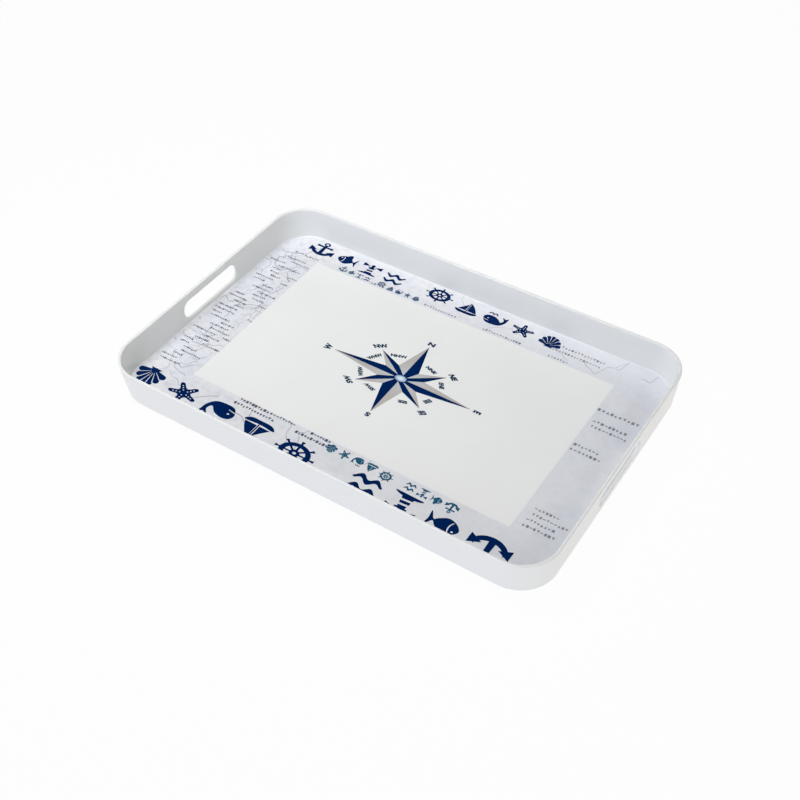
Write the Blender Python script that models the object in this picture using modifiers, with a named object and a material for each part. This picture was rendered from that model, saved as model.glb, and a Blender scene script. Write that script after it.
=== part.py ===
"""A serving tray moulded in melamine resin, with a printed decor foil under a clear glaze.

Run it with: blender --background --python part.py
Units are metres. +X runs along the long side, +Y to the back, +Z up. The origin is the middle of
the foot, on the surface that the tray stands on.
"""

import math

import bmesh
import bpy
from mathutils import Matrix, Vector

# ---- driving dimensions ----
LENGTH = 0.461            # over the rim, along X
WIDTH = 0.3035            # over the rim, along Y
HEIGHT = 0.040
END_DRAFT = 0.0025        # how far an end wall leans in from the rim to the base
SIDE_DRAFT = 0.004        # the same for a long wall
CORNER_RADIUS = 0.0365    # of the rim's outline
WALL = 0.003
RIM_ROUND = 0.0012        # rounding along the rim and the hand slots
BASE_ROUND = 0.004        # rounding outside, where a wall meets the base

FOOT_HEIGHT = 0.0025      # depth of the recess under the base
FOOT_WIDTH = 0.006        # flat part of the foot ring
SHELL_FLOOR_Z = 0.0055    # top of the moulded floor, under the foil
FLOOR_ROUND = 0.001       # rounding inside, where a wall meets the floor

SLOT_LENGTH = 0.081       # hand slot, one in each end wall
SLOT_HEIGHT = 0.019
SLOT_CORNER = 0.009
SLOT_BELOW_RIM = 0.0184   # from the rim down to the slot's middle

GAP = 0.0003              # between two pieces that touch on the real tray
FOIL = 0.0004             # thickness of the decor foil
INK = 0.0002              # thickness of an ink layer
GLAZE = 0.0003
FOIL_MARGIN = 0.0006      # bare resin between the foil and the wall

PANEL_X = (-0.173, 0.1732)   # the white middle field of the decor
PANEL_Y = (-0.0936, 0.1087)
ROSE_CENTRE = (-0.0024, 0.008)
ROSE_STRETCH = 1.5        # the rose is drawn wider than it is tall
LONG_POINT = 0.0517       # from the middle to a cardinal tip, before the stretch
SHORT_POINT = 0.0345      # from the middle to a diagonal tip, before the stretch
WAIST = 0.0163            # from the middle to the notch between two points
WAIST_SPREAD = 27.5       # degrees from a cardinal point to the notches beside it
BOSS_RADIUS = 0.004
HUB_RADIUS = 0.005        # dark disc that the boss sits in
HUB_STEP = 40             # degrees of the hub's edge from one point's line to its notch line

# ---- how finely curves are divided ----
CORNER_STEPS = 14
SLOT_STEPS = 6
ROUND_STEPS = 3
DISC_STEPS = 32

FOIL_Z = SHELL_FLOOR_Z + GAP
LIGHT_Z = FOIL_Z + FOIL + GAP
DARK_Z = LIGHT_Z + INK + GAP
GLAZE_Z = DARK_Z + INK + GAP


def clear_scene():
    """Remove every object that is already in the file."""
    for obj in list(bpy.data.objects):
        bpy.data.objects.remove(obj, do_unlink=True)


def new_collection(name):
    collection = bpy.data.collections.new(name)
    bpy.context.scene.collection.children.link(collection)
    return collection


def make_material(name, colour, roughness, coat=0.0):
    material = bpy.data.materials.new(name)
    material.use_nodes = True
    shader = material.node_tree.nodes["Principled BSDF"]
    shader.inputs["Base Color"].default_value = (*colour, 1.0)
    shader.inputs["Roughness"].default_value = roughness
    shader.inputs["Metallic"].default_value = 0.0
    shader.inputs["Coat Weight"].default_value = coat
    material.diffuse_color = (*colour, 1.0)
    return material


def wall_lean(z):
    """How far the outer end and long walls stand in from the rim's outline at height z."""
    depth = (HEIGHT - z) / HEIGHT
    return END_DRAFT * depth, SIDE_DRAFT * depth


def wall_half_size(z, inset):
    """Half the length and width at height z, inset metres inside the outer wall."""
    end_lean, side_lean = wall_lean(z)
    return Vector((LENGTH / 2 - end_lean - inset, WIDTH / 2 - side_lean - inset))


def tapered_block(name, bottom, top, z_bottom, z_top, corner, bottom_round=0.0):
    """A block with rounded upright corners, from half size bottom to half size top.

    bottom_round also rounds the edge round its lower face.
    """
    mesh = bpy.data.meshes.new(name)
    bm = bmesh.new()
    bmesh.ops.create_cube(bm, size=2.0)
    for vert in bm.verts:
        half = top if vert.co.z > 0 else bottom
        vert.co.x *= half.x
        vert.co.y *= half.y
        vert.co.z = z_top if vert.co.z > 0 else z_bottom
    upright = [e for e in bm.edges if abs(e.verts[0].co.z - e.verts[1].co.z) > 1e-6]
    bmesh.ops.bevel(bm, geom=upright, offset=corner, offset_type="OFFSET", affect="EDGES",
                    segments=CORNER_STEPS, profile=0.5, clamp_overlap=True)
    if bottom_round:
        low = [e for e in bm.edges if all(abs(v.co.z - z_bottom) < 1e-6 for v in e.verts)]
        bmesh.ops.bevel(bm, geom=low, offset=bottom_round, offset_type="OFFSET",
                        affect="EDGES", segments=ROUND_STEPS, profile=0.5)
    bm.to_mesh(mesh)
    bm.free()
    return bpy.data.objects.new(name, mesh)


def shell_body():
    return tapered_block("tray_shell", wall_half_size(0.0, 0.0), wall_half_size(HEIGHT, 0.0),
                         0.0, HEIGHT, CORNER_RADIUS, BASE_ROUND)


def cavity_cutter():
    """The well of the tray. It follows the outer walls and runs on past the rim."""
    top_z = 2 * HEIGHT
    return tapered_block("cut_well", wall_half_size(SHELL_FLOOR_Z, WALL),
                         wall_half_size(top_z, WALL), SHELL_FLOOR_Z, top_z,
                         CORNER_RADIUS - WALL, FLOOR_ROUND)


def recess_cutter():
    """The hollow under the base, which leaves the foot ring standing."""
    inset = BASE_ROUND + FOOT_WIDTH
    half = wall_half_size(0.0, inset)
    return tapered_block("cut_recess", half, half, -HEIGHT, FOOT_HEIGHT, CORNER_RADIUS - inset)


def slot_cutter():
    """One long bar through both end walls."""
    mesh = bpy.data.meshes.new("cut_slots")
    bm = bmesh.new()
    bmesh.ops.create_cube(bm, size=1.0)
    size = Matrix.Diagonal((LENGTH * 1.2, SLOT_LENGTH, SLOT_HEIGHT, 1.0))
    bmesh.ops.transform(bm, matrix=size, verts=bm.verts)
    along = [e for e in bm.edges if abs(e.verts[0].co.x - e.verts[1].co.x) > 1e-6]
    bmesh.ops.bevel(bm, geom=along, offset=SLOT_CORNER, offset_type="OFFSET",
                    affect="EDGES", segments=SLOT_STEPS, profile=0.5)
    bm.to_mesh(mesh)
    bm.free()
    cutter = bpy.data.objects.new("cut_slots", mesh)
    cutter.location.z = HEIGHT - SLOT_BELOW_RIM
    return cutter


def cut(obj, cutter, cutters):
    """Cut obj with cutter, which goes out of sight into the cutters' collection."""
    cutters.objects.link(cutter)
    cutter.hide_render = True
    cutter.display_type = "WIRE"
    boolean = obj.modifiers.new(cutter.name, "BOOLEAN")
    boolean.operation = "DIFFERENCE"
    boolean.solver = "EXACT"
    boolean.object = cutter


def make_shell(parts, cutters, material):
    shell = shell_body()
    parts.objects.link(shell)
    cut(shell, cavity_cutter(), cutters)
    cut(shell, slot_cutter(), cutters)
    rounding = shell.modifiers.new("rounded_rim", "BEVEL")
    rounding.width = RIM_ROUND
    rounding.segments = ROUND_STEPS
    rounding.limit_method = "ANGLE"
    rounding.angle_limit = math.radians(50)
    cut(shell, recess_cutter(), cutters)
    shell.data.materials.append(material)
    return shell


def rounded_rectangle(half, corner):
    """Points of a rectangle of that half size with arcs at its corners, anticlockwise."""
    points = []
    for quarter in range(4):
        x_side = 1 if quarter in (0, 3) else -1
        y_side = 1 if quarter in (0, 1) else -1
        middle = Vector((x_side * (half.x - corner), y_side * (half.y - corner)))
        for step in range(CORNER_STEPS + 1):
            angle = math.radians(90 * (quarter + step / CORNER_STEPS))
            points.append(middle + corner * Vector((math.cos(angle), math.sin(angle))))
    return points


def box_outline(x_range, y_range, inset=0.0):
    x0, x1 = x_range[0] + inset, x_range[1] - inset
    y0, y1 = y_range[0] + inset, y_range[1] - inset
    return [Vector((x0, y0)), Vector((x1, y0)), Vector((x1, y1)), Vector((x0, y1))]


def flat_sheet(name, outlines, z, thickness, parts, material):
    """A sheet with those outlines, the second and later ones being holes. z is its underside."""
    curve = bpy.data.curves.new(name, "CURVE")
    curve.dimensions = "2D"
    curve.fill_mode = "BOTH"
    curve.extrude = thickness / 2
    for outline in outlines:
        spline = curve.splines.new("POLY")
        spline.points.add(len(outline) - 1)
        for point, place in zip(spline.points, outline):
            point.co = (place.x, place.y, 0.0, 1.0)
        spline.use_cyclic_u = True
    curve.materials.append(material)
    sheet = bpy.data.objects.new(name, curve)
    sheet.location.z = z + thickness / 2
    parts.objects.link(sheet)
    return sheet


def rose_place(bearing, radius):
    """The place at that bearing in degrees, clockwise from +Y, on the stretched rose."""
    angle = math.radians(bearing)
    x = ROSE_CENTRE[0] + ROSE_STRETCH * radius * math.sin(angle)
    y = ROSE_CENTRE[1] + radius * math.cos(angle)
    return Vector((x, y))


def tip_place(point):
    """The tip of a point of the rose. Even points are cardinal, odd ones diagonal."""
    return rose_place(45 * point, SHORT_POINT if point % 2 else LONG_POINT)


def notch_place(point):
    """The notch on the clockwise side of that point."""
    return rose_place(45 * point + (45 - WAIST_SPREAD if point % 2 else WAIST_SPREAD), WAIST)


def star_outline():
    """The whole eight-pointed star."""
    outline = []
    for point in range(8):
        outline.append(tip_place(point))
        outline.append(notch_place(point))
    return outline


def pinwheel_outline():
    """The clockwise half of every point, joined round the hub."""
    outline = []
    for point in range(8):
        outline.append(rose_place(45 * point, HUB_RADIUS))
        outline.append(tip_place(point))
        outline.append(notch_place(point))
        outline.append(rose_place(45 * point + HUB_STEP, HUB_RADIUS))
    return outline


def disc_outline(radius):
    return [rose_place(360 * step / DISC_STEPS, radius) for step in range(DISC_STEPS)]


def make_decor(parts, materials):
    """The printed foil, its ink layers and the glaze that seals them."""
    foil_half = wall_half_size(SHELL_FLOOR_Z, WALL + FOIL_MARGIN)
    foil_corner = CORNER_RADIUS - WALL - FOIL_MARGIN
    foil_outline = rounded_rectangle(foil_half, foil_corner)
    flat_sheet("map_border_foil", [foil_outline, box_outline(PANEL_X, PANEL_Y)],
               FOIL_Z, FOIL, parts, materials["map"])
    flat_sheet("centre_panel_foil", [box_outline(PANEL_X, PANEL_Y, GAP)],
               FOIL_Z, FOIL, parts, materials["panel"])
    flat_sheet("compass_light_print", [star_outline()],
               LIGHT_Z, INK, parts, materials["light_ink"])
    flat_sheet("compass_dark_print", [pinwheel_outline(), disc_outline(BOSS_RADIUS + GAP)],
               DARK_Z, INK, parts, materials["dark_ink"])
    flat_sheet("compass_boss_print", [disc_outline(BOSS_RADIUS)],
               DARK_Z, INK, parts, materials["boss_ink"])
    flat_sheet("clear_glaze", [foil_outline], GLAZE_Z, GLAZE, parts, materials["glaze"])


def main():
    clear_scene()
    parts = new_collection("serving_tray")
    cutters = new_collection("cutters")
    materials = {
        "resin": make_material("white_melamine", (0.86, 0.87, 0.87), 0.28),
        "map": make_material("map_paper", (0.74, 0.76, 0.81), 0.35, coat=0.4),
        "panel": make_material("white_paper", (0.87, 0.87, 0.86), 0.35, coat=0.4),
        "light_ink": make_material("warm_grey_ink", (0.50, 0.48, 0.46), 0.35, coat=0.4),
        "dark_ink": make_material("navy_ink", (0.006, 0.028, 0.12), 0.35, coat=0.4),
        "boss_ink": make_material("pale_blue_ink", (0.42, 0.60, 0.70), 0.35, coat=0.4),
        "glaze": make_material("clear_glaze", (0.90, 0.91, 0.91), 0.15),
    }
    make_shell(parts, cutters, materials["resin"])
    make_decor(parts, materials)


main()
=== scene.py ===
"""How the serving tray looks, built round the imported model.

Metres, +X along the long side, +Y to the back, +Z up. The tray is white melamine. Its printed
decor lies in the floor as thin layers: the map border and the white panel at the bottom, then
the fine map print, then the navy pictures, the compass rose and its letters.
"""

import math
import random

import bmesh
import bpy
from mathutils import Matrix, Quaternion, Vector
from mathutils.geometry import delaunay_2d_cdt


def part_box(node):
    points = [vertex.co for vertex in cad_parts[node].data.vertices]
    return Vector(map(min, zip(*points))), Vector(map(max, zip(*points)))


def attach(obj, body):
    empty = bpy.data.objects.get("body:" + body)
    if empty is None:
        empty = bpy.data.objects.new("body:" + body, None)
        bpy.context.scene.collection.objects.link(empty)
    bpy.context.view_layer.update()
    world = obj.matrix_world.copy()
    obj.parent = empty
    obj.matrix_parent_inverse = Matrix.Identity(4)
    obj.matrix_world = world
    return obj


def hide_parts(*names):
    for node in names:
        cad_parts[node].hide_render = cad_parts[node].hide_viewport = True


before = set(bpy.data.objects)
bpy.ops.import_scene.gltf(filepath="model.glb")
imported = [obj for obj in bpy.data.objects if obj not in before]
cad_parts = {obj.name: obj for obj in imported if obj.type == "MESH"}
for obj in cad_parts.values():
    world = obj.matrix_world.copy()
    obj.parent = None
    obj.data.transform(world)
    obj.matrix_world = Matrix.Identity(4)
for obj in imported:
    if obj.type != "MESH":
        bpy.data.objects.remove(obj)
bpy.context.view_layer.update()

MM = 0.001

# ---- the moulding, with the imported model's own dimensions ----
END_DRAFT = 2.5 * MM
SIDE_DRAFT = 4 * MM
CORNER_RADIUS = 36.5 * MM
WALL = 3 * MM
RIM_ROUND = 1.2 * MM
BASE_ROUND = 4 * MM
FLOOR_ROUND = 1 * MM
FOIL_MARGIN = 0.6 * MM
FOOT_HEIGHT = 2.5 * MM
FOOT_WIDTH = 6 * MM
RECESS_ROUND = 1.2 * MM
SLOT_LENGTH = 81 * MM
SLOT_HEIGHT = 19 * MM
SLOT_CORNER = 9 * MM
SLOT_BELOW_RIM = 18.4 * MM

LENGTH = 461 * MM         # over the rim, before the rim's rounding
WIDTH = 303.5 * MM
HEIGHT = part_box("tray_shell")[1].z

# ---- the decor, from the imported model's sheets ----
FOIL_LOW, FOIL_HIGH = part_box("map_border_foil")
PANEL_LOW, PANEL_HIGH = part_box("centre_panel_foil")
ROSE_LOW, ROSE_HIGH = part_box("compass_light_print")
BOSS_LOW, BOSS_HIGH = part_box("compass_boss_print")
FOIL_CORNER = CORNER_RADIUS - WALL - FOIL_MARGIN
PANEL_SEAM = 0.3 * MM

FLOOR_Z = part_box("clear_glaze")[1].z
SHEET = 0.1 * MM          # thickness of the two sheets that carry the print
INK = 0.03 * MM           # thickness of one printed layer
LAYER_STEP = 0.04 * MM    # from the underside of one layer to that of the next
SHEET_GAP = 0.02 * MM     # between the moulded floor and the sheets

ROSE_CENTRE = (ROSE_LOW + ROSE_HIGH) / 2
LONG_POINT = (ROSE_HIGH.y - ROSE_LOW.y) / 2
STRETCH = (ROSE_HIGH.x - ROSE_LOW.x) / (ROSE_HIGH.y - ROSE_LOW.y)
SHORT_POINT = 34.5 * MM
WAIST = 16.3 * MM
WAIST_SPREAD = 27.5       # degrees from a cardinal point to the notches beside it
HUB_RADIUS = 5 * MM
HUB_STEP = 40             # degrees of the hub's edge from one point's line to its notch line
BOSS_RADIUS = (BOSS_HIGH.y - BOSS_LOW.y) / 2

# ---- how finely curves are divided ----
CORNER_STEPS = 40
ROUND_STEPS = 8
SLOT_STEPS = 20
DISC_STEPS = 64
SMOOTH_STEPS = 10


# ======== materials ========

def new_material(name):
    material = bpy.data.materials.new(name)
    material.use_nodes = True
    return material, material.node_tree, material.node_tree.nodes["Principled BSDF"]


def node(tree, kind, inputs=None, **settings):
    """Add a node. An input is a socket to link from, or a value."""
    made = tree.nodes.new(kind)
    for name, value in settings.items():
        setattr(made, name, value)
    for name, value in (inputs or {}).items():
        if isinstance(value, bpy.types.NodeSocket):
            tree.links.new(value, made.inputs[name])
        else:
            made.inputs[name].default_value = value
    return made


def object_place(tree):
    return node(tree, "ShaderNodeTexCoord").outputs["Object"]


def noise_of(tree, place, size, detail=2.0, roughness=0.5):
    """Noise from 0 to 1 whose patches are about size metres across."""
    made = node(tree, "ShaderNodeTexNoise",
                {"Vector": place, "Scale": 1 / size, "Detail": detail, "Roughness": roughness})
    return made.outputs["Fac"]


def spread(tree, value, low, high, to_low=0.0, to_high=1.0):
    """Stretch the part of value from low to high over to_low to to_high."""
    made = node(tree, "ShaderNodeMapRange", {
        "Value": value, "From Min": low, "From Max": high, "To Min": to_low, "To Max": to_high})
    return made.outputs["Result"]


def mix(tree, factor, first, second):
    """Mix two colours, each a socket or three numbers."""
    made = node(tree, "ShaderNodeMix", data_type="RGBA")
    for socket, value in ((made.inputs[0], factor), (made.inputs[6], first),
                          (made.inputs[7], second)):
        if isinstance(value, bpy.types.NodeSocket):
            tree.links.new(value, socket)
        else:
            socket.default_value = (*value, 1.0)
    return made.outputs[2]


def bump(tree, height, strength, distance):
    made = node(tree, "ShaderNodeBump",
                {"Height": height, "Strength": strength, "Distance": distance})
    return made.outputs["Normal"]


def glazed(tree, shader, place, roughness, coat):
    """Give a printed surface its glaze: a clear coat with faint waves and wiping marks."""
    waves = noise_of(tree, place, 14 * MM, 1.0)
    grain = noise_of(tree, place, 1.2 * MM, 3.0)
    smear = spread(tree, noise_of(tree, place, 35 * MM, 3.0), 0.3, 0.7,
                   roughness - 0.04, roughness + 0.05)
    height = node(tree, "ShaderNodeMath", {0: grain, 1: 0.15, 2: waves},
                  operation="MULTIPLY_ADD").outputs[0]
    tree.links.new(smear, shader.inputs["Roughness"])
    tree.links.new(bump(tree, height, 0.12, 0.3 * MM), shader.inputs["Normal"])
    shader.inputs["Coat Weight"].default_value = coat
    shader.inputs["Coat Roughness"].default_value = 0.08
    shader.inputs["Coat IOR"].default_value = 1.5
    shader.inputs["Specular IOR Level"].default_value = 0.0


def melamine_material():
    """White melamine: a faint cloudiness in the resin and a soft moulded gloss."""
    material, tree, shader = new_material("white_melamine")
    place = object_place(tree)
    clouds = spread(tree, noise_of(tree, place, 30 * MM, 4.0), 0.3, 0.7)
    specks = spread(tree, noise_of(tree, place, 0.9 * MM, 2.0), 0.35, 0.65)
    cloudy = mix(tree, clouds, (0.852, 0.855, 0.855), (0.868, 0.870, 0.870))
    colour = mix(tree, spread(tree, specks, 0.0, 1.0, 0.0, 0.25), cloudy, (0.835, 0.838, 0.838))
    tree.links.new(colour, shader.inputs["Base Color"])
    gloss = spread(tree, noise_of(tree, place, 22 * MM, 4.0), 0.3, 0.7, 0.34, 0.40)
    tree.links.new(gloss, shader.inputs["Roughness"])
    skin = node(tree, "ShaderNodeMath", {
        0: noise_of(tree, place, 1.6 * MM, 3.0), 1: 0.2, 2: noise_of(tree, place, 9 * MM, 2.0)},
        operation="MULTIPLY_ADD").outputs[0]
    tree.links.new(bump(tree, skin, 0.04, 0.10 * MM), shader.inputs["Normal"])
    shader.inputs["Coat Weight"].default_value = 0.18
    shader.inputs["Coat Roughness"].default_value = 0.08
    shader.inputs["Specular IOR Level"].default_value = 0.25
    return material


def panel_material():
    """White paper under the glaze."""
    material, tree, shader = new_material("panel_paper")
    place = object_place(tree)
    fibres = spread(tree, noise_of(tree, place, 0.7 * MM, 4.0, 0.65), 0.3, 0.7)
    clouds = spread(tree, noise_of(tree, place, 60 * MM, 2.0), 0.3, 0.7)
    white = mix(tree, clouds, (0.862, 0.864, 0.862), (0.884, 0.886, 0.884))
    colour = mix(tree, spread(tree, fibres, 0.0, 1.0, 0.0, 0.3), white, (0.845, 0.848, 0.850))
    tree.links.new(colour, shader.inputs["Base Color"])
    glazed(tree, shader, place, 0.42, 0.55)
    return material


def map_material():
    """Pale chart paper: lilac and grey patches with faint pink and teal regions."""
    material, tree, shader = new_material("map_paper")
    place = object_place(tree)
    along = node(tree, "ShaderNodeSeparateXYZ", {"Vector": place}).outputs["X"]
    eastward = spread(tree, along, -0.20, 0.20)
    west = mix(tree, spread(tree, noise_of(tree, place, 38 * MM, 3.0), 0.35, 0.65),
               (0.765, 0.785, 0.850), (0.820, 0.820, 0.842))
    east = mix(tree, spread(tree, noise_of(tree, place, 45 * MM, 3.0), 0.35, 0.65),
               (0.745, 0.760, 0.812), (0.795, 0.803, 0.842))
    ground = mix(tree, eastward, west, east)
    pink = spread(tree, noise_of(tree, place, 24 * MM, 2.0), 0.58, 0.72, 0.0, 0.45)
    tinted = mix(tree, pink, ground, (0.760, 0.715, 0.735))
    teal = spread(tree, noise_of(tree, place, 31 * MM, 2.0), 0.60, 0.74, 0.0, 0.5)
    tinted = mix(tree, teal, tinted, (0.640, 0.710, 0.740))
    relief = spread(tree, noise_of(tree, place, 7 * MM, 4.0, 0.6), 0.46, 0.70, 0.0, 0.60)
    fade = spread(tree, along, -0.20, 0.05, 1.0, 0.35)
    hills = node(tree, "ShaderNodeMath", {0: relief, 1: fade}, operation="MULTIPLY").outputs[0]
    tinted = mix(tree, hills, tinted, (0.565, 0.570, 0.640))
    fibres = spread(tree, noise_of(tree, place, 0.8 * MM, 4.0, 0.65), 0.3, 0.7, 0.0, 0.30)
    colour = mix(tree, fibres, tinted, (0.70, 0.71, 0.755))
    tree.links.new(colour, shader.inputs["Base Color"])
    glazed(tree, shader, place, 0.44, 0.5)
    return material


def ink_material(name, solid, thin):
    """Printing ink: solid colour, with thinner spots where the press left less of it."""
    material, tree, shader = new_material(name)
    place = object_place(tree)
    spots = spread(tree, noise_of(tree, place, 0.8 * MM, 3.0, 0.6), 0.52, 0.75, 0.0, 0.6)
    bands = spread(tree, noise_of(tree, place, 16 * MM, 3.0), 0.35, 0.7, 0.0, 0.35)
    colour = mix(tree, bands, mix(tree, spots, solid, thin), thin)
    tree.links.new(colour, shader.inputs["Base Color"])
    glazed(tree, shader, place, 0.50, 0.10)
    return material


def from_rose_centre(tree):
    """Distance from the middle of the rose in unstretched metres."""
    shifted = node(tree, "ShaderNodeVectorMath", {
        0: object_place(tree), 1: (ROSE_CENTRE.x, ROSE_CENTRE.y, ROSE_CENTRE.z)},
        operation="SUBTRACT").outputs["Vector"]
    flat = node(tree, "ShaderNodeVectorMath", {0: shifted, 1: (1 / STRETCH, 1.0, 0.0)},
                operation="MULTIPLY").outputs["Vector"]
    return node(tree, "ShaderNodeVectorMath", {0: flat}, operation="LENGTH").outputs["Value"]


def rose_light_material():
    """Warm grey ink that turns pale and bluish towards the boss."""
    material, tree, shader = new_material("warm_grey_ink")
    place = object_place(tree)
    spots = spread(tree, noise_of(tree, place, 0.8 * MM, 3.0, 0.6), 0.45, 0.75, 0.0, 0.6)
    grey = mix(tree, spots, (0.490, 0.465, 0.445), (0.560, 0.535, 0.520))
    near = spread(tree, from_rose_centre(tree), 8 * MM, 26 * MM, 0.55, 0.0)
    colour = mix(tree, near, grey, (0.60, 0.63, 0.70))
    tree.links.new(colour, shader.inputs["Base Color"])
    glazed(tree, shader, place, 0.40, 0.45)
    return material


def boss_material():
    """A printed pearl: almost white in the middle, blue towards its edge."""
    material, tree, shader = new_material("pearl_ink")
    place = object_place(tree)
    out = spread(tree, from_rose_centre(tree), 0.0, BOSS_RADIUS)
    curve = node(tree, "ShaderNodeMath", {0: out, 1: 1.8}, operation="POWER").outputs[0]
    grain = spread(tree, noise_of(tree, place, 0.6 * MM, 2.0), 0.4, 0.7, 0.0, 0.3)
    middle = mix(tree, grain, (0.76, 0.87, 0.92), (0.70, 0.82, 0.90))
    colour = mix(tree, curve, middle, (0.20, 0.34, 0.58))
    tree.links.new(colour, shader.inputs["Base Color"])
    glazed(tree, shader, place, 0.35, 0.5)
    return material


# ======== the moulding ========

def half_size(z, inset):
    """Half the length and width at height z, inset metres inside the outer wall."""
    depth = (HEIGHT - z) / HEIGHT
    return Vector((LENGTH / 2 - END_DRAFT * depth - inset, WIDTH / 2 - SIDE_DRAFT * depth - inset))


def mesh_object(name, bm):
    mesh = bpy.data.meshes.new(name)
    bm.to_mesh(mesh)
    bm.free()
    made = bpy.data.objects.new(name, mesh)
    bpy.context.scene.collection.objects.link(made)
    return made


def tapered_block(name, bottom, top, z_bottom, z_top, corner, low_round=0.0, high_round=0.0):
    """A block with rounded upright corners, from half size bottom to half size top.

    low_round and high_round also round the edges round its lower and upper face.
    """
    bm = bmesh.new()
    bmesh.ops.create_cube(bm, size=2.0)
    for vert in bm.verts:
        half = top if vert.co.z > 0 else bottom
        vert.co.x *= half.x
        vert.co.y *= half.y
        vert.co.z = z_top if vert.co.z > 0 else z_bottom
    upright = [e for e in bm.edges if abs(e.verts[0].co.z - e.verts[1].co.z) > 1e-6]
    bmesh.ops.bevel(bm, geom=upright, offset=corner, offset_type="OFFSET", affect="EDGES",
                    segments=CORNER_STEPS, profile=0.5, clamp_overlap=True)
    for z, amount in ((z_bottom, low_round), (z_top, high_round)):
        if amount:
            level = [e for e in bm.edges if all(abs(v.co.z - z) < 1e-6 for v in e.verts)]
            bmesh.ops.bevel(bm, geom=level, offset=amount, offset_type="OFFSET",
                            affect="EDGES", segments=ROUND_STEPS, profile=0.5)
    return mesh_object(name, bm)


def slot_bar():
    """One long bar through both end walls."""
    bm = bmesh.new()
    bmesh.ops.create_cube(bm, size=1.0)
    size = Matrix.Diagonal((LENGTH * 1.2, SLOT_LENGTH, SLOT_HEIGHT, 1.0))
    bmesh.ops.transform(bm, matrix=size, verts=bm.verts)
    along = [e for e in bm.edges if abs(e.verts[0].co.x - e.verts[1].co.x) > 1e-6]
    bmesh.ops.bevel(bm, geom=along, offset=SLOT_CORNER, offset_type="OFFSET",
                    affect="EDGES", segments=SLOT_STEPS, profile=0.5)
    bar = mesh_object("slot_bar", bm)
    bar.location.z = HEIGHT - SLOT_BELOW_RIM
    return bar


def cut(made, cutter):
    boolean = made.modifiers.new(cutter.name, "BOOLEAN")
    boolean.operation = "DIFFERENCE"
    boolean.solver = "EXACT"
    boolean.object = cutter


def apply_modifiers(made):
    bpy.context.view_layer.update()
    depsgraph = bpy.context.evaluated_depsgraph_get()
    mesh = bpy.data.meshes.new_from_object(made.evaluated_get(depsgraph))
    made.modifiers.clear()
    made.data = mesh


def make_moulding():
    floor = FLOOR_Z - SHEET - SHEET_GAP
    moulding = tapered_block("tray_moulding", half_size(0.0, 0.0), half_size(HEIGHT, 0.0),
                             0.0, HEIGHT, CORNER_RADIUS, low_round=BASE_ROUND)
    well = tapered_block("well", half_size(floor, WALL), half_size(2 * HEIGHT, WALL),
                         floor, 2 * HEIGHT, CORNER_RADIUS - WALL, low_round=FLOOR_ROUND)
    foot_inset = BASE_ROUND + FOOT_WIDTH
    foot_half = half_size(0.0, foot_inset)
    recess = tapered_block("recess", foot_half, foot_half, -HEIGHT, FOOT_HEIGHT,
                           CORNER_RADIUS - foot_inset, high_round=RECESS_ROUND)
    slots = slot_bar()
    cut(moulding, well)
    cut(moulding, slots)
    rounding = moulding.modifiers.new("rounded_rim", "BEVEL")
    rounding.width = RIM_ROUND
    rounding.segments = ROUND_STEPS
    rounding.limit_method = "ANGLE"
    rounding.angle_limit = math.radians(50)
    cut(moulding, recess)
    apply_modifiers(moulding)
    for cutter in (well, slots, recess):
        bpy.data.objects.remove(cutter, do_unlink=True)
    moulding.data.shade_smooth()
    moulding.data.set_sharp_from_angle(angle=math.radians(40))
    moulding.modifiers.new("even_shading", "WEIGHTED_NORMAL").keep_sharp = True
    return moulding


# ======== flat shapes ========

def arc(centre, radius, start, end, steps=DISC_STEPS):
    """Points of an arc, from start to end degrees. radius may be one number or two."""
    across, up = radius if isinstance(radius, tuple) else (radius, radius)
    points = []
    for step in range(steps + 1):
        angle = math.radians(start + (end - start) * step / steps)
        points.append(Vector((centre[0] + across * math.cos(angle),
                              centre[1] + up * math.sin(angle))))
    return points


def disc(centre, radius, steps=DISC_STEPS):
    return arc(centre, radius, 0, 360, steps)[:-1]


def bar(start, end, width, end_width=None):
    """A straight bar, which may taper to end_width."""
    start, end = Vector(start), Vector(end)
    side = (end - start).orthogonal().normalized() / 2
    last = width if end_width is None else end_width
    return [start - side * width, end - side * last, end + side * last, start + side * width]


def crescent(centre, outer, inner_centre, inner, start, end):
    """The space between two arcs with different middles."""
    return (arc(centre, outer, start, end, SMOOTH_STEPS * 3)
            + arc(inner_centre, inner, end, start, SMOOTH_STEPS * 3))


def smooth(corners):
    """A closed curve through the corners."""
    count = len(corners)
    points = []
    for i in range(count):
        a, b, c, d = (Vector(corners[(i + k) % count]) for k in (-1, 0, 1, 2))
        for step in range(SMOOTH_STEPS):
            t = step / SMOOTH_STEPS
            points.append(0.5 * (2 * b + (c - a) * t + (2 * a - 5 * b + 4 * c - d) * t ** 2
                                 + (3 * b - a - 3 * c + d) * t ** 3))
    return points


def mirrored(outline):
    return [Vector((-p[0], p[1])) for p in outline]


def rounded_rectangle(low, high, corner):
    points = []
    for quarter in range(4):
        x = high.x - corner if quarter in (0, 3) else low.x + corner
        y = high.y - corner if quarter in (0, 1) else low.y + corner
        points += arc((x, y), corner, 90 * quarter, 90 * quarter + 90, CORNER_STEPS)
    return points


def rectangle(low, high):
    return [Vector((low.x, low.y)), Vector((high.x, low.y)), Vector((high.x, high.y)),
            Vector((low.x, high.y))]


def area_of(outline):
    return sum(a.x * b.y - b.x * a.y
               for a, b in zip(outline, outline[1:] + outline[:1])) / 2


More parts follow.
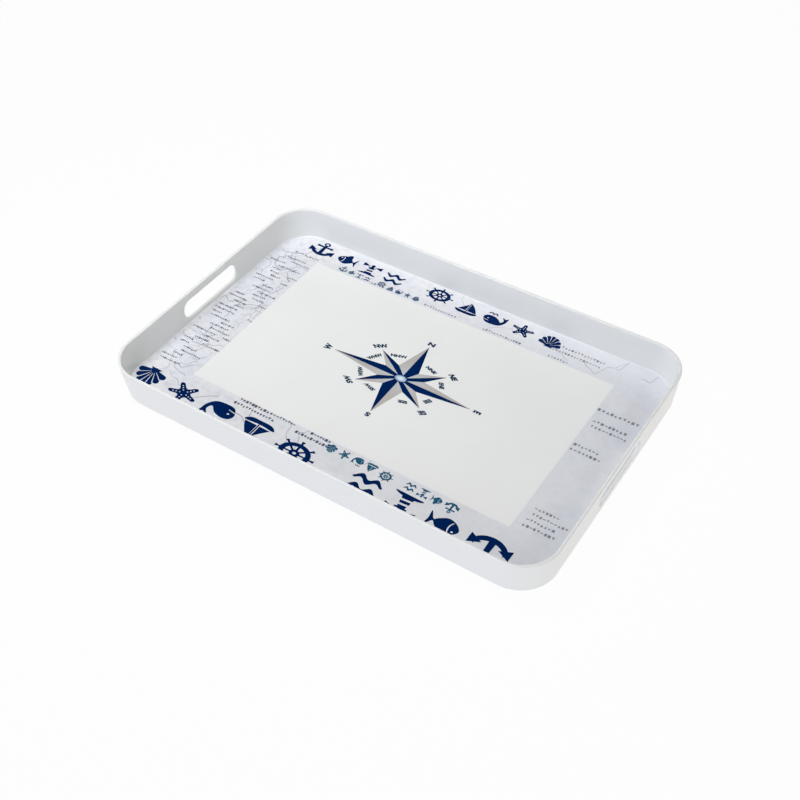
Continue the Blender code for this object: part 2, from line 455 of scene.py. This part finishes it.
def flat_solid(name, shapes, low, high, within=None):
    """One flat solid from low to high.

    shapes are (adds, outline) pairs. Each adds to or cuts what the ones before it drew.
    Only what lies within the last outline is kept.
    """
    outlines = [outline for _, outline in shapes]
    if within:
        outlines.append(within)
    points, faces = [], []
    for outline in outlines:
        turned = outline if area_of(outline) > 0 else outline[::-1]
        faces.append(list(range(len(points), len(points) + len(turned))))
        points += turned
    verts, _, triangles, _, _, origins = delaunay_2d_cdt(points, [], faces, 1, 1e-7, True)
    bm = bmesh.new()
    made = {}
    for triangle, inside in zip(triangles, origins):
        drawn = [adds for index, (adds, _) in enumerate(shapes) if index in inside]
        if not drawn or not drawn[-1] or (within and len(shapes) not in inside):
            continue
        for index in triangle:
            if index not in made:
                made[index] = bm.verts.new((verts[index].x, verts[index].y, high))
        bm.faces.new([made[index] for index in triangle])
    bmesh.ops.dissolve_limit(bm, angle_limit=math.radians(0.01), verts=bm.verts,
                             edges=bm.edges)
    top = bm.faces[:]
    lower = bmesh.ops.extrude_face_region(bm, geom=top, use_keep_orig=True)
    for item in lower["geom"]:
        if isinstance(item, bmesh.types.BMVert):
            item.co.z = low
    bmesh.ops.recalc_face_normals(bm, faces=bm.faces)
    return mesh_object(name, bm)


def layer(index):
    """Lowest and highest z of printed layer number index, counted up from the sheets."""
    low = FLOOR_Z + (LAYER_STEP - INK) + index * LAYER_STEP
    return low, low + INK


# ======== the pictures in the four rows ========
# Each is drawn from x -0.5 to 0.5 and y 0 to 1, as (adds, outline) pairs.

def anchor():
    shapes = [(True, disc((0, 0.87), 0.13)), (False, disc((0, 0.87), 0.055)),
              (True, bar((0, 0.06), (0, 0.77), 0.17, 0.11)),
              (True, bar((-0.27, 0.66), (0.27, 0.66), 0.11)),
              (True, crescent((0, 0.45), (0.45, 0.45), (0, 0.53), (0.36, 0.36), 192, 348))]
    fluke = [(-0.50, 0.50), (-0.50, 0.14), (-0.20, 0.32)]
    for outline in (fluke, mirrored(fluke)):
        shapes.append((True, [Vector(p) for p in outline]))
    for x in (-0.28, 0.28):
        shapes.append((True, disc((x, 0.66), (0.055, 0.075))))
    return shapes


def fish():
    body = smooth([(-0.50, 0.48), (-0.34, 0.73), (-0.05, 0.84), (0.20, 0.66), (0.33, 0.52),
                   (0.50, 0.86), (0.47, 0.48), (0.50, 0.12), (0.33, 0.42), (0.20, 0.30),
                   (-0.05, 0.12), (-0.34, 0.22)])
    fin = smooth([(-0.12, 0.78), (-0.02, 1.0), (0.12, 0.98), (0.16, 0.68)])
    gill = crescent((-0.30, 0.48), (0.14, 0.30), (-0.34, 0.48), (0.14, 0.30), -58, 58)
    return [(True, body), (True, fin), (False, gill), (False, disc((-0.34, 0.60), 0.040))]


def lighthouse():
    beam = [Vector(p) for p in ((0.13, 0.80), (0.50, 0.97), (0.50, 0.66))]
    shapes = [(True, bar((0, 0.06), (0, 0.68), 0.40, 0.24)),
              (False, bar((-0.3, 0.24), (0.3, 0.30), 0.09)),
              (False, bar((-0.3, 0.46), (0.3, 0.52), 0.09)),
              (True, bar((-0.20, 0.68), (0.20, 0.68), 0.07)),
              (True, bar((0, 0.70), (0, 0.86), 0.15)),
              (True, [Vector((-0.15, 0.85)), Vector((0.15, 0.85)), Vector((0, 1.0))]),
              (True, smooth([(-0.46, 0.0), (-0.30, 0.11), (0, 0.15), (0.30, 0.11), (0.46, 0.0),
                             (0, -0.01)]))]
    return shapes + [(True, beam), (True, mirrored(beam))]


def waves():
    """Two rows of crests."""
    shapes = []
    steps = 40
    for middle in (0.20, 0.70):
        upper, lower = [], []
        for step in range(steps + 1):
            across = step / steps
            rise = 0.10 * math.cos(math.radians(720 * across))
            thick = 0.15 * math.sin(math.radians(180 * across)) ** 0.35 + 0.004
            upper.append(Vector((across - 0.5, middle + rise + thick)))
            lower.append(Vector((across - 0.5, middle + rise - thick * 0.5)))
        shapes.append((True, lower + upper[::-1]))
    return shapes


def helm():
    """A ship's wheel."""
    middle = (0, 0.5)
    shapes = []
    for spoke in range(8):
        angle = math.radians(45 * spoke)
        out = Vector((math.cos(angle), math.sin(angle)))
        shapes.append((True, bar(Vector(middle), Vector(middle) + 0.44 * out, 0.055)))
        shapes.append((True, bar(Vector(middle) + 0.42 * out, Vector(middle) + 0.5 * out,
                                 0.05, 0.095)))
    ring = [(True, disc(middle, 0.385)), (False, disc(middle, 0.255))]
    inner = [(True, outline) for _, outline in shapes]
    hub = [(True, disc(middle, 0.125)), (False, disc(middle, 0.045))]
    return ring + inner + hub


def sailing_boat():
    hull = smooth([(-0.50, 0.23), (0.0, 0.19), (0.50, 0.24), (0.36, 0.03), (0.0, 0.0),
                   (-0.36, 0.03)])
    mainsail = [Vector(p) for p in ((0.04, 0.28), (0.46, 0.28), (0.36, 0.52), (0.20, 0.80),
                                    (0.04, 0.97))]
    jib = [Vector(p) for p in ((-0.05, 0.28), (-0.05, 0.88), (-0.20, 0.60), (-0.40, 0.28))]
    return [(True, hull), (True, mainsail), (True, jib), (True, bar((0, 0.2), (0, 1.0), 0.045))]


def whale():
    body = smooth([(-0.50, 0.36), (-0.44, 0.62), (-0.20, 0.72), (0.08, 0.62), (0.28, 0.40),
                   (0.36, 0.62), (0.24, 0.86), (0.40, 0.80), (0.50, 0.92), (0.50, 0.70),
                   (0.46, 0.40), (0.30, 0.12), (0.0, 0.02), (-0.34, 0.06)])
    spout = crescent((-0.30, 0.80), (0.12, 0.20), (-0.30, 0.80), (0.06, 0.13), 10, 170)
    spray = crescent((-0.10, 0.80), (0.12, 0.20), (-0.10, 0.80), (0.06, 0.13), 10, 170)
    mouth = bar((-0.50, 0.27), (-0.22, 0.22), 0.035)
    return [(True, body), (True, spout), (True, spray), (False, mouth),
            (False, disc((-0.30, 0.42), 0.038))]


def starfish():
    """Five blunt arms with a row of dots along each."""
    middle = 0.47
    stretch = 1.08
    corners = []
    for arm in range(5):
        for turn, reach in ((-8, 0.47), (8, 0.47), (36, 0.215)):
            angle = math.radians(90 - 72 * arm - turn)
            corners.append((reach * math.cos(angle),
                            middle + reach * math.sin(angle) * stretch))
    shapes = [(True, smooth(corners))]
    for arm in range(5):
        angle = math.radians(90 - 72 * arm)
        for reach in (0.13, 0.24, 0.34):
            place = (reach * math.cos(angle), middle + reach * math.sin(angle) * stretch)
            shapes.append((False, disc(place, 0.026, 12)))
    return shapes


def shell():
    """A scallop: a fan of ribs on a small hinge."""
    hinge = (0.0, 0.12)
    rib_step = 25.333
    outline = []
    for rib in range(7):
        angle = math.radians(166 - rib_step * rib)
        tip = (hinge[0] + 0.40 * math.cos(angle), hinge[1] + 0.74 * math.sin(angle))
        facing = math.degrees(angle)
        outline += arc(tip, (0.105, 0.13), facing + 80, facing - 80, 10)
    shapes = [(True, outline + [Vector((0.12, 0.10)), Vector((-0.12, 0.10))])]
    for groove in range(6):
        angle = math.radians(153.333 - rib_step * groove)
        out = Vector((0.42 * math.cos(angle), 0.80 * math.sin(angle)))
        shapes.append((False, bar(Vector(hinge) + 0.22 * out, Vector(hinge) + out,
                                  0.012, 0.034)))
    shapes.append((True, [Vector(p) for p in ((-0.20, 0.0), (0.20, 0.0), (0.11, 0.14),
                                              (-0.11, 0.14))]))
    return shapes


PICTURES = (anchor, fish, lighthouse, waves, helm, sailing_boat, whale, starfish, shell)

# a row's two groups: start and end, with the row's length as 1, and number of pictures
GROUPS = ((0.0, 0.39, 4), (0.48, 1.0, 5))
FIRST_WIDTH = 1.3    # of a group's first picture, with the others' width as 1
PICTURE_GAP = 0.3    # between two pictures, on the same scale


def picture_spans():
    """Whether each picture is a group's first, and where it starts and ends along its row."""
    spans = []
    for start, end, count in GROUPS:
        unit = (end - start) / (FIRST_WIDTH + (count - 1) * (1 + PICTURE_GAP))
        x = start
        for index in range(count):
            wide = unit if index else unit * FIRST_WIDTH
            spans.append((index == 0, x, x + wide))
            x += wide + unit * PICTURE_GAP
    return spans


def picture_row(name, start, length, small, large, turn):
    """A row of pictures that starts at start and runs turn degrees from +X."""
    along = Vector((math.cos(math.radians(turn)), math.sin(math.radians(turn))))
    up = Vector((-along.y, along.x))
    shapes = []
    for picture, (leads, first, last) in zip(PICTURES, picture_spans()):
        tall = large if leads else small
        middle = Vector(start) + along * length * (first + last) / 2
        wide = length * (last - first)
        for adds, outline in picture():
            placed = [middle + along * wide * p[0] + up * tall * p[1] for p in outline]
            shapes.append((adds, placed))
    return flat_solid(name, shapes, *layer(2), within=foil_outline())


# ======== the rose ========

def rose_place(bearing, radius):
    """The place at that bearing in degrees, clockwise from +Y, on the stretched rose."""
    angle = math.radians(bearing)
    return Vector((ROSE_CENTRE.x + STRETCH * radius * math.sin(angle),
                   ROSE_CENTRE.y + radius * math.cos(angle)))


def tip_place(point):
    return rose_place(45 * point, SHORT_POINT if point % 2 else LONG_POINT)


def notch_place(point):
    return rose_place(45 * point + (45 - WAIST_SPREAD if point % 2 else WAIST_SPREAD), WAIST)


def make_rose():
    star, pinwheel = [], []
    for point in range(8):
        star += [tip_place(point), notch_place(point)]
        pinwheel += [rose_place(45 * point, HUB_RADIUS), tip_place(point), notch_place(point),
                     rose_place(45 * point + HUB_STEP, HUB_RADIUS)]
    hub = [rose_place(-360 * step / DISC_STEPS, HUB_RADIUS) for step in range(DISC_STEPS)]
    rim = [rose_place(-360 * step / DISC_STEPS, BOSS_RADIUS + 0.1 * MM)
           for step in range(DISC_STEPS)]
    boss = [rose_place(-360 * step / DISC_STEPS, BOSS_RADIUS) for step in range(DISC_STEPS)]
    light = flat_solid("compass_light_points", [(True, star)], *layer(2))
    dark = flat_solid("compass_dark_points", [(True, pinwheel), (True, hub), (False, rim)],
                      *layer(3))
    pearl = flat_solid("compass_boss", [(True, boss)], *layer(3))
    return light, dark, pearl


def make_letters():
    """The names of the winds, their tops turned away from the middle."""
    low, high = layer(3)
    winds = (("N", 56, 6.6), ("NE", 39, 5.8), ("E", 56, 6.6), ("SE", 39, 5.8), ("S", 56, 6.6),
             ("SW", 39, 5.8), ("W", 56, 6.6), ("NW", 39, 5.8))
    half_winds = ("NNE", "ENE", "ESE", "SSE", "SSW", "WSW", "WNW", "NNW")
    written = [(word, 45 * index, radius, size)
               for index, (word, radius, size) in enumerate(winds)]
    for index, word in enumerate(half_winds):
        quarter, second = divmod(index, 2)
        bearing = 90 * quarter + (90 - WAIST_SPREAD + 1.5 if second else WAIST_SPREAD - 1.5)
        written.append((word, bearing, 28, 4.4))
    bm = bmesh.new()
    for word, bearing, radius, size in written:
        text = bpy.data.curves.new("wind", "FONT")
        text.body = word
        text.size = size * MM
        text.offset = 0.055 * size * MM
        text.align_x = "CENTER"
        text.align_y = "CENTER"
        text.extrude = (high - low) / 2
        text.resolution_u = 4
        holder = bpy.data.objects.new("wind", text)
        bpy.context.scene.collection.objects.link(holder)
        bpy.context.view_layer.update()
        mesh = bpy.data.meshes.new_from_object(
            holder.evaluated_get(bpy.context.evaluated_depsgraph_get()))
        outward = rose_place(bearing, radius * MM)
        place = (Matrix.Translation((outward.x, outward.y, (low + high) / 2))
                 @ Matrix.Diagonal((STRETCH, 1.0, 1.0, 1.0))
                 @ Matrix.Rotation(math.radians(-bearing), 4, "Z"))
        mesh.transform(place)
        bm.from_mesh(mesh)
        bpy.data.objects.remove(holder, do_unlink=True)
    bmesh.ops.remove_doubles(bm, verts=bm.verts, dist=0.001 * MM)
    return mesh_object("compass_letters", bm)


# ======== the chart print on the border ========

def foil_outline():
    return rounded_rectangle(FOIL_LOW, FOIL_HIGH, FOIL_CORNER)


def panel_outline(inset=0.0):
    margin = Vector((inset, inset, 0))
    return rectangle(PANEL_LOW + margin, PANEL_HIGH - margin)


def make_sheets():
    low, high = FLOOR_Z - SHEET, FLOOR_Z
    border = flat_solid("map_border", [(True, foil_outline()),
                                       (False, panel_outline(-PANEL_SEAM))], low, high)
    panel = flat_solid("centre_panel", [(True, panel_outline())], low, high)
    return border, panel


# the outlines that stand for a name's characters, in a square from -1 to 1
SYMBOLS = (
    ((-1, -1), (1, -1), (1, 1), (-1, 1)),
    ((-1, -1), (1, -1), (0, 1)),
    ((-1, 1), (0, -1), (1, 1)),
    ((-1, 0), (0, -1), (1, 0), (0, 1)),
    ((-1, -0.35), (1, -0.35), (1, 0.35), (-1, 0.35)))


def marks_along(left, right, middle, tall, gap, chance):
    """A run of plain squares, triangles, diamonds and dashes that stands for one place name.

    gap is the space between two of them, as a share of their height.
    """
    shapes = []
    x = left
    while x < right:
        symbol = chance.choice(SYMBOLS)
        wide = tall * chance.uniform(0.42, 0.6)
        high = tall * 0.62
        centre = Vector((x + wide / 2, middle))
        outline = [centre + Vector((p[0] * wide / 2, p[1] * high / 2)) for p in symbol]
        shapes.append((True, [point * MM for point in outline]))
        x += wide + tall * chance.uniform(gap, gap + 0.08)
    return shapes


def names_in(left, right, first, rows, spacing, tall, lengths, gaps, indent, chance):
    """Place names that fill a block of rows, as (left end, right end, middle, height) in mm.

    The first row's middle is at y first. lengths and gaps are the shortest and the longest.
    """
    names = []
    for row in range(rows):
        x = left + chance.uniform(0, indent)
        while x < right - lengths[0] / 2:
            end = min(right, x + chance.uniform(*lengths))
            names.append((x, end, first - row * spacing, tall))
            x = end + chance.uniform(*gaps)
    return names


def west_names(chance):
    """The crowded end of the map."""
    return names_in(-221, -173, 101, 34, 5.8, 3.6, (9, 28), (8, 34), 24, chance)


def front_names(chance):
    """Two rows between the pictures and the panel."""
    return names_in(-130, -12, -95.5, 2, 6, 5, (24, 70), (10, 30), 20, chance)


def back_names(chance):
    """One loose row behind the panel, and a pair of long names at the right."""
    names = names_in(-204, 122, 112, 1, 0, 4.2, (24, 58), (30, 70), 0, chance)
    return names + names_in(92, 158, 130, 2, 7, 4.4, (54, 66), (4, 8), 10, chance)


def east_names(chance):
    """A few large names in four groups, with nothing between them."""
    names = names_in(174, 214, 72, 1, 0, 5.6, (36, 40), (4, 8), 0, chance)
    names += names_in(174, 214, 56, 2, 7, 5.2, (34, 40), (4, 8), 4, chance)
    names += names_in(174, 204, 21, 2, 7, 5.2, (20, 30), (4, 8), 2, chance)
    return names + names_in(180, 214, -64, 4, 7, 4.6, (22, 34), (4, 8), 6, chance)


def make_marks(name, place_names, gap, seed):
    """One side's place names, cut off at the panel and at the border's edge."""
    chance = random.Random(seed)
    shapes = []
    for left, right, middle, tall in place_names(chance):
        shapes += marks_along(left, right, middle, tall, gap, chance)
    shapes.append((False, panel_outline(-PANEL_SEAM)))
    return flat_solid(name, shapes, *layer(1), within=foil_outline())


def wandering_line(start, heading, length, width, chance):
    """A thin river or border line that turns at random as it goes. Lengths are in mm."""
    place = Vector(start)
    bend = 0.0
    swing = 0.0
    step = 1.4
    left, right = [], []
    count = int(length / step)
    for index in range(count):
        bend = 0.5 * bend + chance.gauss(0, 19)
        # never more than 60 degrees off its course, so that it doesn't curl back on itself
        swing = max(-60.0, min(60.0, swing + bend))
        course = math.radians(heading + swing)
        along = Vector((math.cos(course), math.sin(course)))
        side = Vector((-along.y, along.x)) * width / 2 * (1 - 0.5 * index / count)
        left.append((place + side) * MM)
        right.append((place - side) * MM)
        place = place + along * step
    return [(True, [left[i], left[i + 1], right[i + 1], right[i]]) for i in range(count - 1)]


def make_lines():
    """Rivers and borders: a net at the west end, a few along the sides, none in the east."""
    chance = random.Random(41)
    shapes = []
    for _ in range(46):
        start = (chance.uniform(-221, -178), chance.uniform(-112, 118))
        shapes += wandering_line(start, chance.uniform(0, 360), chance.uniform(12, 42),
                                 chance.uniform(0.45, 0.8), chance)
    for _ in range(8):
        start = (chance.uniform(-170, 30), chance.uniform(-124, -93))
        shapes += wandering_line(start, chance.choice((0, 180)) + chance.uniform(-30, 30),
                                 chance.uniform(25, 60), chance.uniform(0.5, 0.8), chance)
    for _ in range(6):
        start = (chance.uniform(-170, 200), chance.uniform(112, 140))
        shapes += wandering_line(start, chance.choice((0, 180)) + chance.uniform(-30, 30),
                                 chance.uniform(25, 60), chance.uniform(0.4, 0.6), chance)
    shapes.append((False, panel_outline(-PANEL_SEAM)))
    return flat_solid("map_lines", shapes, *layer(0), within=foil_outline())


# ======== putting it together ========

def finish_piece(piece, material, slot, *nodes):
    piece.data.materials.clear()
    piece.data.materials.append(material)
    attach(piece, "root")
    if nodes:
        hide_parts(*nodes)


def make_tray():
    navy = ink_material("navy_ink", (0.0, 0.014, 0.088), (0.0, 0.022, 0.110))
    slate = ink_material("slate_ink", (0.050, 0.095, 0.190), (0.090, 0.150, 0.250))
    teal = ink_material("teal_ink", (0.016, 0.095, 0.180), (0.035, 0.145, 0.235))
    letter_ink = ink_material("letter_ink", (0.012, 0.040, 0.085), (0.030, 0.070, 0.130))
    dark_mark = ink_material("dark_mark_ink", (0.075, 0.085, 0.125), (0.15, 0.16, 0.21))
    pale_mark = ink_material("pale_mark_ink", (0.22, 0.23, 0.27), (0.34, 0.35, 0.39))
    line_ink = ink_material("line_ink", (0.30, 0.30, 0.38), (0.43, 0.43, 0.51))

    finish_piece(make_moulding(), melamine_material(), "resin", "tray_shell")
    border, panel = make_sheets()
    finish_piece(border, map_material(), "map_paper", "map_border_foil", "clear_glaze")
    finish_piece(panel, panel_material(), "panel_paper", "centre_panel_foil")
    light, dark, pearl = make_rose()
    finish_piece(light, rose_light_material(), "light_ink", "compass_light_print")
    finish_piece(dark, navy, "dark_ink", "compass_dark_print")
    finish_piece(pearl, boss_material(), "boss_ink", "compass_boss_print")
    finish_piece(make_letters(), letter_ink, "dark_ink")
    finish_piece(make_lines(), line_ink, "light_ink")
    finish_piece(make_marks("west_map_marks", west_names, 0.10, 5), dark_mark, "dark_ink")
    finish_piece(make_marks("front_map_marks", front_names, 0.12, 6), dark_mark, "dark_ink")
    finish_piece(make_marks("back_map_marks", back_names, 0.20, 7), pale_mark, "light_ink")
    finish_piece(make_marks("east_map_marks", east_names, 0.20, 8), pale_mark, "light_ink")
    # name, start, length, height of the small and the large pictures, turn and ink
    rows = (
        ("back_picture_row", (-195.8, 120.1), 302, 17, 22, 0.4, navy),
        ("small_back_picture_row", (-148.1, 110.6), 99, 7, 9, 0.4, slate),
        ("front_picture_row", (189.7, -111), 414, 24, 31, 179.3, navy),
        ("small_front_picture_row", (127.8, -96.8), 139, 10, 12, 179.8, teal))
    for name, start, length, small, large, turn, ink in rows:
        place = (start[0] * MM, start[1] * MM)
        row = picture_row(name, place, length * MM, small * MM, large * MM, turn)
        finish_piece(row, ink, "dark_ink")


# ======== stage, light and camera ========

def make_stage():
    bm = bmesh.new()
    bmesh.ops.create_grid(bm, x_segments=1, y_segments=1, size=30.0)
    floor = mesh_object("studio_floor", bm)
    floor.location.z = -0.0002
    material, _, shader = new_material("studio_floor")
    shader.inputs["Base Color"].default_value = (0.02, 0.02, 0.02, 1.0)
    shader.inputs["Roughness"].default_value = 0.9
    shader.inputs["Specular IOR Level"].default_value = 0.0
    shader.inputs["Emission Color"].default_value = (1.0, 1.0, 1.0, 1.0)
    shader.inputs["Emission Strength"].default_value = 0.97
    floor.data.materials.append(material)


def area_light(name, place, size, power, colour=(1.0, 1.0, 1.0)):
    """A square soft box at place that faces the tray."""
    data = bpy.data.lights.new(name, "AREA")
    data.shape = "SQUARE"
    data.size = size
    data.energy = power
    data.color = colour
    light = bpy.data.objects.new(name, data)
    light.location = place
    light.rotation_mode = "QUATERNION"
    light.rotation_quaternion = (-Vector(place)).to_track_quat("-Z", "Y")
    bpy.context.scene.collection.objects.link(light)


def make_light():
    world = bpy.data.worlds.new("studio")
    world.use_nodes = True
    tree = world.node_tree
    up = node(tree, "ShaderNodeSeparateXYZ", {"Vector": object_place(tree)}).outputs["Z"]
    colour = mix(tree, spread(tree, up, 0.08, 0.12), (1.0, 1.0, 1.0), (0.06, 0.06, 0.06))
    tree.links.new(colour, tree.nodes["Background"].inputs["Color"])
    bpy.context.scene.world = world
    area_light("key", (-0.3, -0.05, 0.9), 0.5, 6.25)
    area_light("front_fill", (-0.1, -2.2, 1.0), 1.6, 20.0, (0.82, 0.89, 1.0))
    area_light("right_fill", (1.7, 0.2, 1.4), 1.2, 11.5, (1.0, 1.0, 0.90))
    bpy.context.scene.view_settings.view_transform = "Standard"


def make_camera():
    azimuth = math.radians(33.617)
    elevation = math.radians(45.133)
    roll = math.radians(-0.838)
    distance = 1.0460
    aim = Vector((0.06628 * LENGTH, -0.14229 * WIDTH, HEIGHT))
    back = Vector((math.sin(azimuth) * math.cos(elevation),
                   -math.cos(azimuth) * math.cos(elevation), math.sin(elevation)))
    data = bpy.data.cameras.new("camera")
    data.lens = 52.505
    data.sensor_width = 36.0
    camera = bpy.data.objects.new("camera", data)
    camera.location = aim + back * distance
    camera.rotation_mode = "QUATERNION"
    camera.rotation_quaternion = ((-back).to_track_quat("-Z", "Y")
                                  @ Quaternion((0, 0, 1), roll))
    bpy.context.scene.collection.objects.link(camera)
    bpy.context.scene.camera = camera


make_tray()
make_stage()
make_light()
make_camera()
